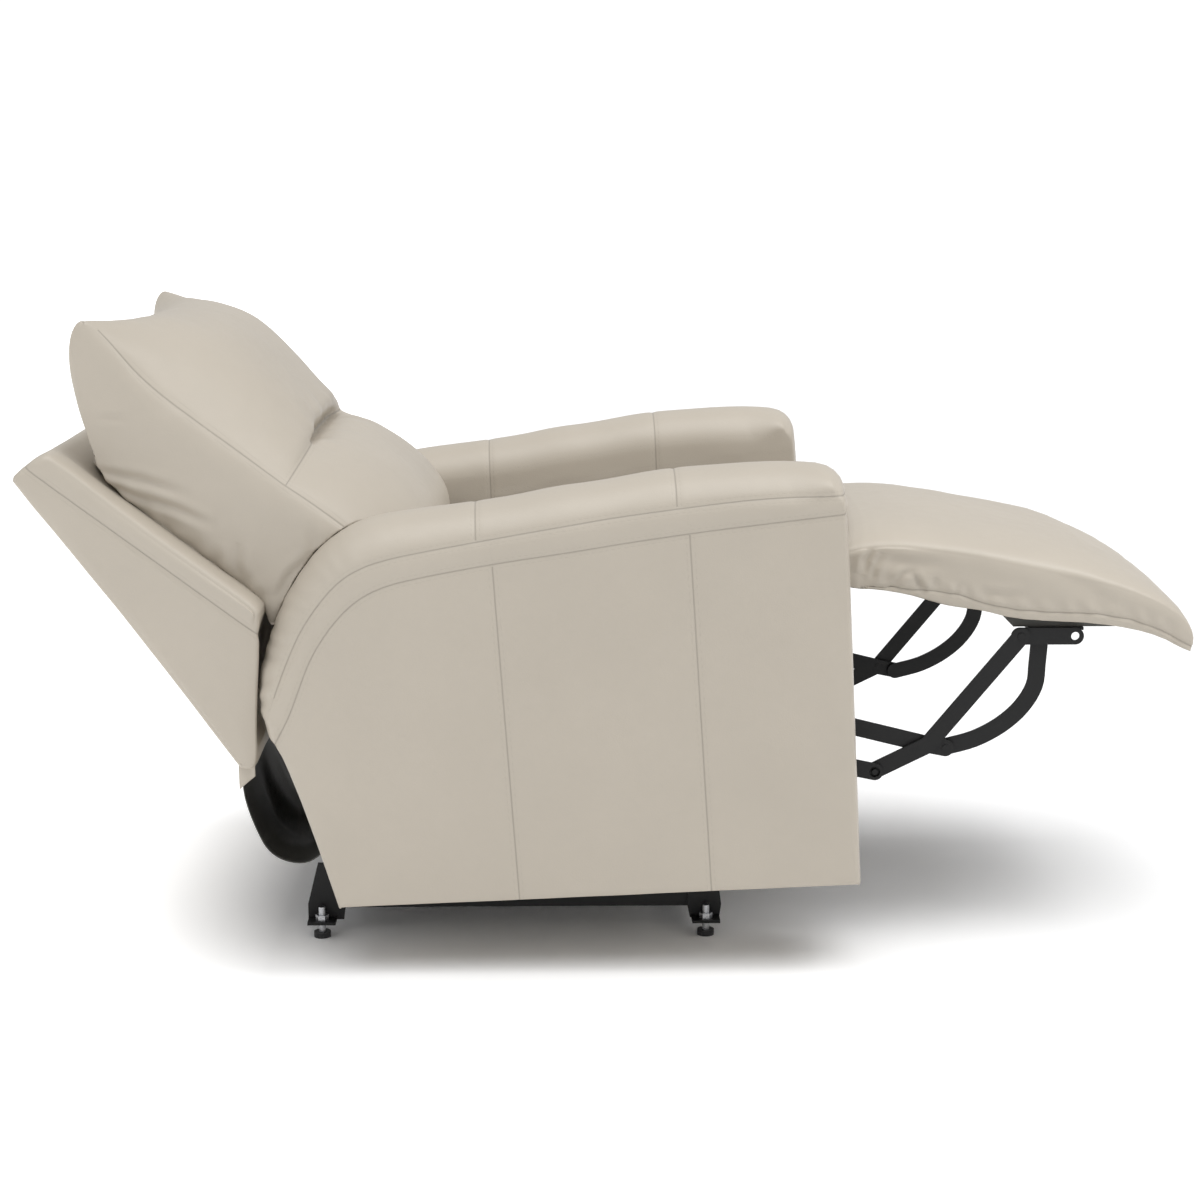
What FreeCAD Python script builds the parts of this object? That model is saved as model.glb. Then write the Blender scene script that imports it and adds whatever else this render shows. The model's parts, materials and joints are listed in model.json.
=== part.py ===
import FreeCAD, Part
import math
import os
import Sketcher

# Power recliner armchair, reclined with the footrest out.
# +X is the way the sitter faces, +Y is the sitter's left, +Z is up, z = 0 is the floor.
# Two frames are used: the floor frame of the base and the footrest, and the seat frame,
# which is tipped nose-up about the rear lower corner of the arms.

doc = FreeCAD.newDocument("recliner")
sheet = doc.addObject("Spreadsheet::Sheet", "sizes")
cells = {}
parts = {}


def cell(alias, value):
    """Write one named size into the sheet and return the name an expression uses."""
    if alias not in cells:
        row = len(cells) + 1
        sheet.set("A%d" % row, alias)
        sheet.set("B%d" % row, repr(round(float(value), 4)))
        sheet.setAlias("B%d" % row, alias)
        cells[alias] = float(value)
    return "sizes." + alias


# ---- driving dimensions, millimetres and degrees ----
SIZES = {
    "centre_shift": 86.1,
    "seat_corner_back": 294.0,
    "seat_corner_up": 92.0,
    "seat_tilt": 2.336,
    "arm_inner_half": 280.0,
    "arm_wide": 140.0,
    "arm_wall": 14.0,
    "seat_half": 278.0,
    "back_half": 398.0,
    "back_wall": 12.0,
    "pillow_half": 348.0,
    "lumbar_half": 262.0,
    "footrest_half": 270.0,
    "board_half": 250.0,
    "plate_thick": 4.0,
    "seat_plate_thick": 5.0,
    "link_half_wide": 12.0,
    "pin_radius": 5.0,
    "pin_hole_radius": 5.05,
    "open_pin_radius": 4.0,
    "rail_plane": 226.0,
    "swing_plane": 232.0,
    "seat_plate_plane": 238.0,
    "brace_plane": 250.0,
    "long_link_plane": 256.0,
    "bow_link_plane": 262.0,
    "drive_link_plane": 268.0,
    "drive_tube_radius": 9.0,
    "drive_hole_radius": 9.05,
    "swing_tube_radius": 8.0,
    "swing_hole_radius": 8.05,
    "button_radius": 8.0,
    "button_hole_radius": 8.05,
    "foot_pad_radius": 12.0,
    "foot_pad_high": 8.0,
    "foot_stem_radius": 5.0,
    "foot_nut_radius": 9.5,
    "foot_nut_high": 8.0,
    "foot_side": 248.0,
    "motor_radius": 20.0,
    "front_swing_hole_radius": 7.4,
    "brace_hole_radius": 5.8,
    "drive_link_hole_radius": 7.6,
    "bracket_eye_radius": 6.0,
}
for alias, value in SIZES.items():
    cell(alias, value)
S = SIZES

# ---- frames ----
FLOOR = FreeCAD.Placement(FreeCAD.Vector(-S["centre_shift"], 0, 0), FreeCAD.Rotation())
SEAT = FreeCAD.Placement(
    FreeCAD.Vector(-S["centre_shift"] - S["seat_corner_back"], 0, S["seat_corner_up"]),
    FreeCAD.Rotation(FreeCAD.Vector(0, 1, 0), -S["seat_tilt"]))

# ---- pivots, seat frame (x, z) ----
LONG_PIVOT = (640.2, 208.9)
BOW_PIVOT = (822.0, 155.6)
BRACE_PIVOT = (848.4, 149.2)
FOOT_PIVOT = (956.3, 306.3)
BRACE_END = (984.2, 298.1)
BRACE_BOW = [(890.0, 159.0), (927.4, 177.2), (957.0, 202.0), (976.0, 232.0), (980.5, 264.0)]
BOW_END = (746.6, 122.2)
DRIVE_AXIS = (564.0, 168.2)
BACK_HINGE = (-62.0, 400.0)
SEAT_PIVOT_REAR = (98.0, 53.0)
SEAT_PIVOT_FRONT = (480.0, 40.0)
# ---- pivots, floor frame (x, z) ----
SWING_REAR = (-250.0, 75.0)
SWING_FRONT = (146.0, 70.0)


def seat_to_floor(point):
    """Carry an (x, z) point of the seat frame into the floor frame."""
    tip = math.radians(S["seat_tilt"])
    x = -S["seat_corner_back"] + point[0] * math.cos(tip) - point[1] * math.sin(tip)
    z = S["seat_corner_up"] + point[0] * math.sin(tip) + point[1] * math.cos(tip)
    return (x, z)


def keep(obj, label):
    """Name a finished sub-part and list it for export."""
    obj.Label = label
    parts[label] = obj
    return obj


def box(label, low, high, frame=None):
    """A rectangular block between two corners; its three sizes are sheet cells."""
    obj = doc.addObject("Part::Box", label)
    names = ("Length", "Width", "Height")
    words = ("long", "wide", "tall")
    for i in range(3):
        obj.setExpression(names[i], cell("%s_%s" % (label, words[i]), high[i] - low[i]))
    local = FreeCAD.Placement(FreeCAD.Vector(*low), FreeCAD.Rotation())
    obj.Placement = local if frame is None else frame.multiply(local)
    return obj


def rod(label, point, y_low, y_high, radius, frame=None):
    """A round bar along Y through the (x, z) point."""
    obj = doc.addObject("Part::Cylinder", label)
    obj.setExpression("Radius", "sizes." + radius)
    obj.setExpression("Height", cell(label + "_reach", y_high - y_low))
    local = FreeCAD.Placement(FreeCAD.Vector(point[0], y_high, point[1]),
                              FreeCAD.Rotation(FreeCAD.Vector(1, 0, 0), 90))
    obj.Placement = local if frame is None else frame.multiply(local)
    return obj


def post(label, x, y, z_low, z_high, radius):
    """A round bar standing along Z."""
    obj = doc.addObject("Part::Cylinder", label)
    obj.setExpression("Radius", "sizes." + radius)
    obj.setExpression("Height", cell(label + "_reach", z_high - z_low))
    obj.Placement = FreeCAD.Placement(FreeCAD.Vector(x, y, z_low), FreeCAD.Rotation())
    return obj


def fuse(label, pieces, frame=None):
    """One solid from several touching pieces."""
    obj = doc.addObject("Part::MultiFuse", label)
    obj.Shapes = pieces
    obj.Refine = True
    if frame is not None:
        obj.Placement = frame
    return obj


def cut(label, base, tool, frame=None):
    """The base with the tool taken away."""
    obj = doc.addObject("Part::Cut", label)
    obj.Base = base
    obj.Tool = tool
    obj.Refine = True
    if frame is not None:
        obj.Placement = frame
    return obj


def span(side, near, far):
    """The Y range of a pair member: side is -1 for the right, +1 for the left."""
    return (near, far) if side > 0 else (-far, -near)


def profile(label, points, y_low, y_high, frame=None, holes=()):
    """A prism along Y: a dimensioned outline in the XZ plane, padded to its thickness."""
    body = doc.addObject("PartDesign::Body", label + "_body")
    sketch = body.newObject("Sketcher::SketchObject", label + "_outline")
    plane = [f for f in body.Origin.OriginFeatures if f.Role == "XZ_Plane"][0]
    sketch.AttachmentSupport = [(plane, "")]
    sketch.MapMode = "FlatFace"
    count = len(points)
    for i in range(count):
        a = points[i]
        b = points[(i + 1) % count]
        sketch.addGeometry(Part.LineSegment(FreeCAD.Vector(a[0], a[1], 0),
                                            FreeCAD.Vector(b[0], b[1], 0)), False)
    for i in range(count):
        sketch.addConstraint(Sketcher.Constraint("Coincident", i, 2, (i + 1) % count, 1))
    for i in range(count):
        for way, value in (("X", points[i][0]), ("Y", points[i][1])):
            name = "corner_%s_%d" % (way.lower(), i)
            index = sketch.addConstraint(
                Sketcher.Constraint("Distance" + way, -1, 1, i, 1, float(value)))
            sketch.renameConstraint(index, name)
            sketch.setExpression("Constraints." + name,
                                 cell("%s_%s" % (label, name), value))
    for i, (centre, radius) in enumerate(holes):
        ring = sketch.addGeometry(Part.Circle(FreeCAD.Vector(centre[0], centre[1], 0),
                                              FreeCAD.Vector(0, 0, 1), S[radius]), False)
        index = sketch.addConstraint(Sketcher.Constraint("Radius", ring, S[radius]))
        sketch.renameConstraint(index, "hole_%d" % i)
        sketch.setExpression("Constraints.hole_%d" % i, "sizes." + radius)
        for way, value in (("X", centre[0]), ("Y", centre[1])):
            sketch.addConstraint(
                Sketcher.Constraint("Distance" + way, -1, 1, ring, 3, float(value)))
    pad = body.newObject("PartDesign::Pad", label + "_pad")
    pad.Profile = sketch
    pad.setExpression("Length", cell(label + "_thick", y_high - y_low))
    body.Tip = pad
    local = FreeCAD.Placement(FreeCAD.Vector(0, y_high, 0), FreeCAD.Rotation())
    body.Placement = local if frame is None else frame.multiply(local)
    return body


def eased(points, steps):
    """A smooth path through the points, each stretch between two of them in equal steps."""
    out = []
    for i in range(len(points) - 1):
        p1, p2 = points[i], points[i + 1]
        p0 = points[i - 1] if i else (2 * p1[0] - p2[0], 2 * p1[1] - p2[1])
        p3 = points[i + 2] if i + 2 < len(points) else (2 * p2[0] - p1[0], 2 * p2[1] - p1[1])
        for k in range(steps):
            t = float(k) / steps
            out.append(tuple(0.5 * (2 * p1[j] + (p2[j] - p0[j]) * t
                                    + (2 * p0[j] - 5 * p1[j] + 4 * p2[j] - p3[j]) * t * t
                                    + (3 * p1[j] - p0[j] - 3 * p2[j] + p3[j]) * t ** 3)
                             for j in (0, 1)))
    return out + [points[-1]]


def ribbon(points, half):
    """Outline of a strip of one width along a path."""
    left, right = [], []
    for i, (x, z) in enumerate(points):
        ax, az = points[max(i - 1, 0)]
        bx, bz = points[min(i + 1, len(points) - 1)]
        size = math.hypot(bx - ax, bz - az)
        nx, nz = -(bz - az) / size * half, (bx - ax) / size * half
        left.append((x + nx, z + nz))
        right.append((x - nx, z - nz))
    return left + right[::-1]


def bar(label, points, y_low, y_high, holes=(), extra=(), frame=None):
    """A flat link with round ends through its points, with holes and fused-on pins."""
    half = S["link_half_wide"]
    pieces = []
    for i, point in enumerate(points):
        pieces.append(rod("%s_end_%d" % (label, i), point, y_low, y_high, "link_half_wide"))
    for i in range(len(points) - 1):
        (ax, az), (bx, bz) = points[i], points[i + 1]
        reach = math.hypot(bx - ax, bz - az)
        lift = math.degrees(math.atan2(bz - az, bx - ax))
        web = doc.addObject("Part::Box", "%s_web_%d" % (label, i))
        web.setExpression("Length", cell("%s_web_%d_long" % (label, i), reach))
        web.setExpression("Width", cell("%s_web_%d_wide" % (label, i), y_high - y_low))
        web.setExpression("Height", "sizes.link_half_wide * 2")
        turn = FreeCAD.Placement(FreeCAD.Vector(ax, y_low, az),
                                 FreeCAD.Rotation(FreeCAD.Vector(0, 1, 0), -lift))
        web.Placement = turn.multiply(
            FreeCAD.Placement(FreeCAD.Vector(0, 0, -half), FreeCAD.Rotation()))
        pieces.append(web)
    solid = fuse(label + "_blank", pieces + list(extra))
    if not holes:
        solid.Placement = frame
        return solid
    drills = [rod("%s_drill_%d" % (label, i), p, y_low - 1, y_high + 1, r)
              for i, (p, r) in enumerate(holes)]
    tool = drills[0] if len(drills) == 1 else fuse(label + "_drills", drills)
    return cut(label, solid, tool, frame)


# ---- base: side rails with pivot ears, cross tubes, foot brackets, levelling feet ----
SIDES = ((-1, "right"), (1, "left"))
RAIL_OUTLINE = [(-352, 37), (232, 37), (232, 63), (166, 63), (160, 84), (132, 84), (126, 63),
                (-226, 63), (-234, 90), (-266, 90), (-274, 63), (-352, 63)]
REAR_GUSSET = [(-357, 20.5), (-306, 20.5), (-303, 44), (-330, 104), (-342, 104), (-357, 44)]
FRONT_GUSSET = [(190, 20.5), (232, 20.5), (235, 40), (232, 63), (188, 63), (186, 40)]
for side, word in SIDES:
    low, high = span(side, S["rail_plane"], S["rail_plane"] + S["plate_thick"])
    keep(profile("base_rail_" + word, RAIL_OUTLINE, low, high, FLOOR,
                 [(SWING_REAR, "swing_hole_radius"), (SWING_FRONT, "pin_hole_radius")]),
         "base_rail_" + word)
    for place, outline, foot_x, shelf in (("rear", REAR_GUSSET, -336.0, 20.5),
                                          ("front", FRONT_GUSSET, 212.0, 20.5)):
        name = "foot_bracket_%s_%s" % (place, word)
        low, high = span(side, 230.0, 234.0)
        web = profile(name + "_web", outline, low, high)
        low, high = span(side, 230.0, 262.0)
        lip = box(name + "_lip", (foot_x - 20, low, shelf), (foot_x + 20, high, shelf + 4))
        nut = doc.addObject("Part::Prism", name + "_nut")
        nut.Polygon = 6
        nut.setExpression("Circumradius", "sizes.foot_nut_radius")
        nut.setExpression("Height", "sizes.foot_nut_high")
        nut.Placement = FreeCAD.Placement(
            FreeCAD.Vector(foot_x, side * S["foot_side"], shelf + 4), FreeCAD.Rotation())
        solid = fuse(name + "_blank", [web, lip, nut])
        bore = doc.addObject("Part::Cylinder", name + "_bore")
        bore.setExpression("Radius", "sizes.pin_hole_radius")
        bore.setExpression("Height", cell(name + "_bore_deep", 60))
        bore.Placement = FreeCAD.Placement(
            FreeCAD.Vector(foot_x, side * S["foot_side"], 0), FreeCAD.Rotation())
        keep(cut(name, solid, bore, FLOOR), name)
        name = "foot_%s_%s" % (place, word)
        pad = post(name + "_pad", foot_x, side * S["foot_side"], 0, S["foot_pad_high"],
                   "foot_pad_radius")
        stem = post(name + "_stem", foot_x, side * S["foot_side"], 5, 44, "foot_stem_radius")
        keep(fuse(name, [pad, stem], FLOOR), name)
for place, x in (("rear", -330.0), ("front", 188.0)):
    keep(box("base_tube_" + place, (x, -226, 38), (x + 25, 226, 62), FLOOR), "base_tube_" + place)

# ---- power inlet on the rear tube: a round socket facing backwards ----
inlet_block = box("power_inlet_block", (-352, 120, 38), (-330, 150, 62))
inlet_hole = doc.addObject("Part::Cylinder", "power_inlet_hole")
inlet_hole.setExpression("Radius", cell("power_inlet_hole_radius", 5.5))
inlet_hole.setExpression("Height", cell("power_inlet_hole_deep", 14))
inlet_hole.Placement = FreeCAD.Placement(FreeCAD.Vector(-353, 135, 50),
                                         FreeCAD.Rotation(FreeCAD.Vector(0, 1, 0), 90))
keep(cut("power_inlet", inlet_block, inlet_hole, FLOOR), "power_inlet")

# ---- recline actuator: rail on two feet, motor with gearbox, sliding carriage ----
recline_rail = [box("recline_rail_beam", (-328, 50, 100), (212, 80, 112)),
                box("recline_rail_heel", (-328, 50, 62), (-308, 80, 100)),
                box("recline_rail_toe", (192, 50, 62), (212, 80, 100))]
keep(fuse("recline_rail", recline_rail, FLOOR), "recline_rail")
recline_case = box("recline_motor_case", (150, 45, 112), (204, 85, 152))
recline_can = rod("recline_motor_can", (177, 132), 85, 180, "motor_radius")
keep(fuse("recline_motor", [recline_case, recline_can], FLOOR), "recline_motor")
recline_block = box("recline_carriage_block", (-243, 50, 112.3), (-207, 80, 126))
recline_pin = rod("recline_carriage_pin", (-225, 118.3), 80, 94, "open_pin_radius")
keep(fuse("recline_carriage", [recline_block, recline_pin], FLOOR), "recline_carriage")

# ---- swing links that carry the seat over the base ----
rear_top = seat_to_floor(SEAT_PIVOT_REAR)
front_top = seat_to_floor(SEAT_PIVOT_FRONT)
for side, word in SIDES:
    plane = S["swing_plane"]
    low, high = span(side, plane, plane + S["plate_thick"])
    for place, foot, head in (("rear", SWING_REAR, rear_top), ("front", SWING_FRONT, front_top)):
        name = "swing_link_%s_%s" % (place, word)
        pin_low, pin_high = span(side, plane + 2, 245.0)
        pins = [rod(name + "_head_pin", head, pin_low, pin_high, "pin_radius")]
        if place == "front":
            pin_low, pin_high = span(side, 224.0, plane + 2)
            pins.append(rod(name + "_foot_pin", foot, pin_low, pin_high, "pin_radius"))
        keep(bar(name, [foot, head], low, high, extra=pins, frame=FLOOR), name)
crank_tip = (SWING_REAR[0] + 58 * math.sin(math.radians(30)),
             SWING_REAR[1] + 58 * math.cos(math.radians(30)))
swing_tube = rod("swing_tube_tube", SWING_REAR, -232, 232, "swing_tube_radius")
crank_slot = box("swing_tube_slot_block", (-6, 83, 36), (6, 91, 58))
crank_slot.Placement = FreeCAD.Placement(
    FreeCAD.Vector(SWING_REAR[0], 0, SWING_REAR[1]),
    FreeCAD.Rotation(FreeCAD.Vector(0, 1, 0), 30)).multiply(crank_slot.Placement)
crank = bar("swing_tube_crank", [SWING_REAR, crank_tip], 84, 90,
            frame=FreeCAD.Placement())
crank_open = cut("swing_tube_fork", crank, crank_slot)
keep(fuse("swing_tube", [swing_tube, crank_open], FLOOR), "swing_tube")

# ---- seat: steel side plates, wooden rails, springs, deck, cushion ----
PLATE_OUTLINE = [(60, 34), (90, 20), (120, 24), (470, 16), (505, 26), (600, 140), (664, 190),
                 (664, 232), (600, 290), (60, 290), (45, 260)]
for side, word in SIDES:
    plane = S["seat_plate_plane"]
    low, high = span(side, plane, plane + S["seat_plate_thick"])
    keep(profile("seat_plate_" + word, PLATE_OUTLINE, low, high, SEAT,
                 [(SEAT_PIVOT_REAR, "pin_hole_radius"),
                  (SEAT_PIVOT_FRONT, "front_swing_hole_radius"),
                  (DRIVE_AXIS, "drive_hole_radius"), (LONG_PIVOT, "pin_hole_radius")]),
         "seat_plate_" + word)
    low, high = span(side, 243.0, 270.0)
    keep(box("seat_rail_" + word, (20, low, 232), (665, high, 300), SEAT), "seat_rail_" + word)
    low, high = span(side, 270.0, 275.0)
    keep(profile("hinge_bracket_" + word,
                 [(24, 240), (110, 240), (110, 296), (-34, 420), (-62, 425), (-85, 412),
                  (-85, 388), (-50, 366), (24, 300)], low, high, SEAT,
                 [(BACK_HINGE, "pin_hole_radius")]), "hinge_bracket_" + word)
keep(box("seat_rail_front", (640, -280, 300), (665, 280, 395), SEAT), "seat_rail_front")
keep(box("seat_rail_rear", (20, -243, 232), (45, 243, 330), SEAT), "seat_rail_rear")
spring_bars = [box("seat_springs_rear_bar", (184, -270, 300), (200, 270, 335)),
               box("seat_springs_front_bar", (628, -243, 329), (640, 243, 335))]
for i in range(5):
    y = -200 + 100 * i
    spring_bars.append(box("seat_springs_strip_%d" % i, (200, y - 18, 329), (628, y + 18, 335)))
keep(fuse("seat_springs", spring_bars, SEAT), "seat_springs")
keep(box("seat_deck", (184, -S["seat_half"], 335), (640, S["seat_half"], 345), SEAT), "seat_deck")
CUSHION_OUTLINE = [(184, 345.2), (184, 440), (300, 456), (420, 470), (640, 494), (757, 499),
                   (800, 491), (833, 470), (852, 440), (859, 405), (857, 397), (638, 396),
                   (638, 345.2)]
keep(profile("seat_cushion", CUSHION_OUTLINE, -S["seat_half"], S["seat_half"], SEAT),
     "seat_cushion")

# ---- arms: upholstered shells open below ----
ARM_OUTLINE = [(0, 0), (712, 0), (703, 546), (692, 567), (638, 576), (584, 579), (531, 578),
               (473, 575), (424, 571), (369, 561), (315, 556), (261, 548), (203, 540),
               (147, 536), (73, 529), (45, 521), (18, 505), (-10, 485), (-40, 448),
               (-58, 419), (-85, 312), (-82, 291), (-72, 249), (-65, 242)]
ARM_HOLLOW = [(16, -5), (697, -5), (689, 538), (684, 554), (636, 562), (584, 565), (531, 564),
              (473, 561), (424, 557), (369, 547), (315, 542), (261, 534), (203, 526),
              (147, 522), (78, 515), (50, 506), (26, 493), (0, 474), (-28, 440), (-45, 413),
              (-70, 312), (-67, 293), (-58, 256), (-50, 248)]
for side, word in SIDES:
    name = "arm_" + word
    low, high = span(side, S["arm_inner_half"], S["arm_inner_half"] + S["arm_wide"])
    outer = profile(name + "_outer", ARM_OUTLINE, low, high)
    hollow = profile(name + "_hollow", ARM_HOLLOW, low + S["arm_wall"], high - S["arm_wall"])
    keep(cut(name, outer, hollow, SEAT), name)

# ---- switch on the inner face of the right arm ----
BUTTONS = ((545.0, 516.0, "button_recline"), (575.0, 517.0, "button_footrest"))
switch_block = box("switch_plate_block", (525, -280, 502), (595, -274, 531))
switch_holes = fuse("switch_plate_holes", [
    rod(name + "_hole", (x, z), -281, -273, "button_hole_radius") for x, z, name in BUTTONS])
keep(cut("switch_plate", switch_block, switch_holes, SEAT), "switch_plate")
for x, z, name in BUTTONS:
    keep(rod(name, (x, z), -278.2, -272.4, "button_radius", SEAT), name)

# ---- footrest actuator under the seat ----
beam = [box("footrest_rail_beam", (45, 0, 225), (665, 34, 237)),
        box("footrest_rail_hanger", (645, 0, 237), (665, 34, 300))]
keep(fuse("footrest_rail", beam, SEAT), "footrest_rail")
case = box("footrest_motor_case", (60, 0, 237), (114, 38, 282))
can = rod("footrest_motor_can", (87, 262), 38, 150, "motor_radius")
keep(fuse("footrest_motor", [case, can], SEAT), "footrest_motor")
CRANK_HALF_SWING = 50.335
CRANK_LONG = 43.0
pin_x = DRIVE_AXIS[0] - CRANK_LONG * math.sin(math.radians(CRANK_HALF_SWING))
pin_z = DRIVE_AXIS[1] + CRANK_LONG * math.cos(math.radians(CRANK_HALF_SWING))
yoke = fuse("footrest_carriage_blank", [
    box("footrest_carriage_top", (pin_x - 20, 0, 237.3), (pin_x + 20, 43, 250)),
    box("footrest_carriage_yoke", (pin_x - 20, 37, 184), (pin_x + 20, 43, 237.3))])
yoke_slot = box("footrest_carriage_slot", (pin_x - 6.5, 36, 190), (pin_x + 6.5, 44, 220))
keep(cut("footrest_carriage", yoke, yoke_slot, SEAT), "footrest_carriage")

# ---- dust cloth hanging between the seat and the back ----
CLOTH_FACE = [(-153, 172), (-149, 122), (-131, 77), (-105, 39), (-70, 25), (-46, 30), (-12, 58),
              (10, 118), (16, 200)]
CLOTH_BACK = [(19, 200), (13, 117), (-10, 56), (-46, 27), (-70, 22), (-107, 36), (-134, 76),
              (-152, 122), (-156, 172)]
keep(profile("pull_cloth", CLOTH_FACE + CLOTH_BACK, -222, 222, SEAT), "pull_cloth")

# ---- back: wooden frame with hinge pins, webbing, cover shell, two pillows ----
COVER_OUTLINE = [(-392, 603), (-344, 628), (-100, 430), (-100, 395), (-108, 320), (-124, 240),
                 (-132, 210)]
COVER_HOLLOW = [(-376, 600), (-348, 612), (-116, 424), (-86, 424), (-88, 310), (-106, 212),
                (-118, 210.6)]
cover_outer = profile("back_cover_outer", COVER_OUTLINE, -S["back_half"], S["back_half"])
cover_hollow = profile("back_cover_hollow", COVER_HOLLOW, -S["back_half"] + S["back_wall"],
                       S["back_half"] - S["back_wall"])
keep(cut("back_cover", cover_outer, cover_hollow, SEAT), "back_cover")
POST_OUTLINE = [(-352, 586), (-342, 600), (-126, 424), (-60, 422), (-42, 412), (-42, 386),
                (-74, 372), (-128, 380)]
frame_pieces = []
for side, word in SIDES:
    low, high = span(side, 232.0, 261.0)
    frame_pieces.append(profile("back_frame_post_" + word, POST_OUTLINE, low, high))
    low, high = span(side, 261.0, 276.0)
    frame_pieces.append(rod("back_frame_pin_" + word, BACK_HINGE, low, high, "pin_radius"))
frame_pieces.append(profile("back_frame_top", [(-352, 586), (-342, 600), (-300, 566), (-312, 544)],
                            -232, 232))
frame_pieces.append(profile("back_frame_foot", [(-128, 380), (-126, 424), (-96, 423), (-98, 376)],
                            -232, 232))
keep(fuse("back_frame", frame_pieces, SEAT), "back_frame")
keep(profile("back_webbing", [(-306, 554), (-302.4, 561), (-127.5, 418), (-127.5, 410)],
             -228, 228, SEAT), "back_webbing")
HEAD_OUTLINE = [(-342, 629), (-310, 640), (-317, 700), (-314, 773), (-293, 803), (-192, 816),
                (-135, 799), (-93, 765), (-53, 720), (-25, 682), (-12, 656), (9, 640),
                (-38, 584), (-150, 473)]
keep(profile("head_pillow", HEAD_OUTLINE, -S["pillow_half"], S["pillow_half"], SEAT),
     "head_pillow")
LUMBAR_OUTLINE = [(-148, 473), (-37.5, 583.5), (9.5, 639.5), (87, 592), (130, 556), (156, 473),
                  (120, 427), (50, 426), (-40, 426), (-100, 452)]
keep(profile("lumbar_pillow", LUMBAR_OUTLINE, -S["lumbar_half"], S["lumbar_half"], SEAT),
     "lumbar_pillow")

# ---- footrest linkage ----
for side, word in SIDES:
    plane = S["long_link_plane"]
    low, high = span(side, plane, plane + S["plate_thick"])
    pin_low, pin_high = span(side, 236.0, plane + 2)
    pin = rod("long_link_%s_pin" % word, LONG_PIVOT, pin_low, pin_high, "pin_radius")
    keep(bar("long_link_" + word, [LONG_PIVOT, BOW_PIVOT, BRACE_PIVOT], low, high,
             [(BOW_PIVOT, "pin_hole_radius"), (BRACE_PIVOT, "pin_hole_radius")], [pin], SEAT),
         "long_link_" + word)
    plane = S["bow_link_plane"]
    low, high = span(side, plane, plane + S["plate_thick"])
    pin_low, pin_high = span(side, 255.0, plane + 2)
    pin = rod("bow_link_%s_pin" % word, BOW_PIVOT, pin_low, pin_high, "pin_radius")
    pin_low, pin_high = span(side, plane + 2, 273.0)
    end_pin = rod("bow_link_%s_end_pin" % word, BOW_END, pin_low, pin_high, "open_pin_radius")
    keep(bar("bow_link_" + word, [BOW_END, BOW_PIVOT, FOOT_PIVOT], low, high,
             [(FOOT_PIVOT, "pin_hole_radius")], [pin, end_pin], SEAT), "bow_link_" + word)
    plane = S["brace_plane"]
    low, high = span(side, plane, plane + S["plate_thick"])
    pin_low, pin_high = span(side, plane + 2, 261.0)
    pin = rod("brace_link_%s_pin" % word, BRACE_PIVOT, pin_low, pin_high, "pin_radius")
    name = "brace_link_" + word
    path = eased([BRACE_PIVOT] + BRACE_BOW + [BRACE_END], 4)
    blank = fuse(name + "_blank", [
        profile(name + "_web", ribbon(path, S["link_half_wide"]), low, high),
        rod(name + "_heel", BRACE_PIVOT, low, high, "link_half_wide"),
        rod(name + "_toe", BRACE_END, low, high, "link_half_wide"), pin])
    drill = rod(name + "_drill", BRACE_END, low - 1, high + 1, "brace_hole_radius")
    keep(cut(name, blank, drill, SEAT), name)
    plane = S["drive_link_plane"]
    low, high = span(side, plane, plane + S["plate_thick"])
    keep(bar("drive_link_" + word, [DRIVE_AXIS, BOW_END], low, high,
             [(BOW_END, "drive_link_hole_radius")], [], SEAT), "drive_link_" + word)
drive_tube = rod("drive_tube_tube", DRIVE_AXIS, -268, 268, "drive_tube_radius")
drive_crank = bar("drive_tube_crank", [DRIVE_AXIS, (pin_x, pin_z)], 28, 34,
                  frame=FreeCAD.Placement())
drive_pin = rod("drive_tube_pin", (pin_x, pin_z), 31, 45, "open_pin_radius")
keep(fuse("drive_tube", [drive_tube, drive_crank, drive_pin], SEAT), "drive_tube")

# ---- footrest: angle brackets, board, cushion; level, so in the floor frame ----
foot_pivot = seat_to_floor(FOOT_PIVOT)
brace_end = seat_to_floor(BRACE_END)
for side, word in SIDES:
    name = "footrest_bracket_" + word
    low, high = span(side, 256.0, 260.0)
    web = bar(name + "_web", [(648.0, 436.0), (726.0, 436.0)], low, high,
              [((726.0, 436.0), "bracket_eye_radius")], frame=FreeCAD.Placement())
    low, high = span(side, 228.0, 256.0)
    lip = box(name + "_lip", (660, low, 444), (738, high, 448))
    pin_low, pin_high = span(side, 258.0, 267.5)
    pin = rod(name + "_pin", foot_pivot, pin_low, pin_high, "pin_radius")
    pin_low, pin_high = span(side, 249.0, 258.0)
    end_pin = rod(name + "_end_pin", brace_end, pin_low, pin_high, "open_pin_radius")
    keep(fuse(name, [web, lip, pin, end_pin], FLOOR), name)
keep(box("footrest_board", (640, -S["board_half"], 448), (835, S["board_half"], 464), FLOOR),
     "footrest_board")
PAD_OUTLINE = [(569, 528), (565, 612), (625, 602), (685, 588), (746, 568), (808, 527),
               (841, 489), (867, 450), (882, 425), (873, 423), (842, 452), (837, 464.2),
               (640, 464.2), (612, 478), (588, 502)]
keep(profile("footrest_cushion", PAD_OUTLINE, -S["footrest_half"], S["footrest_half"], FLOOR),
     "footrest_cushion")

# ---- recompute, check and export ----
doc.recompute()
for obj in doc.Objects:
    if "Invalid" in obj.State or "Error" in obj.State:
        raise RuntimeError("%s did not compute: %s" % (obj.Label, obj.State))
os.makedirs("parts", exist_ok=True)
for name, obj in parts.items():
    shape = obj.Shape
    if shape.isNull() or not shape.isValid() or len(shape.Solids) != 1:
        raise RuntimeError("%s is not one valid solid" % name)
for name, obj in parts.items():
    obj.Shape.exportStep("parts/%s.step" % name)
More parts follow.
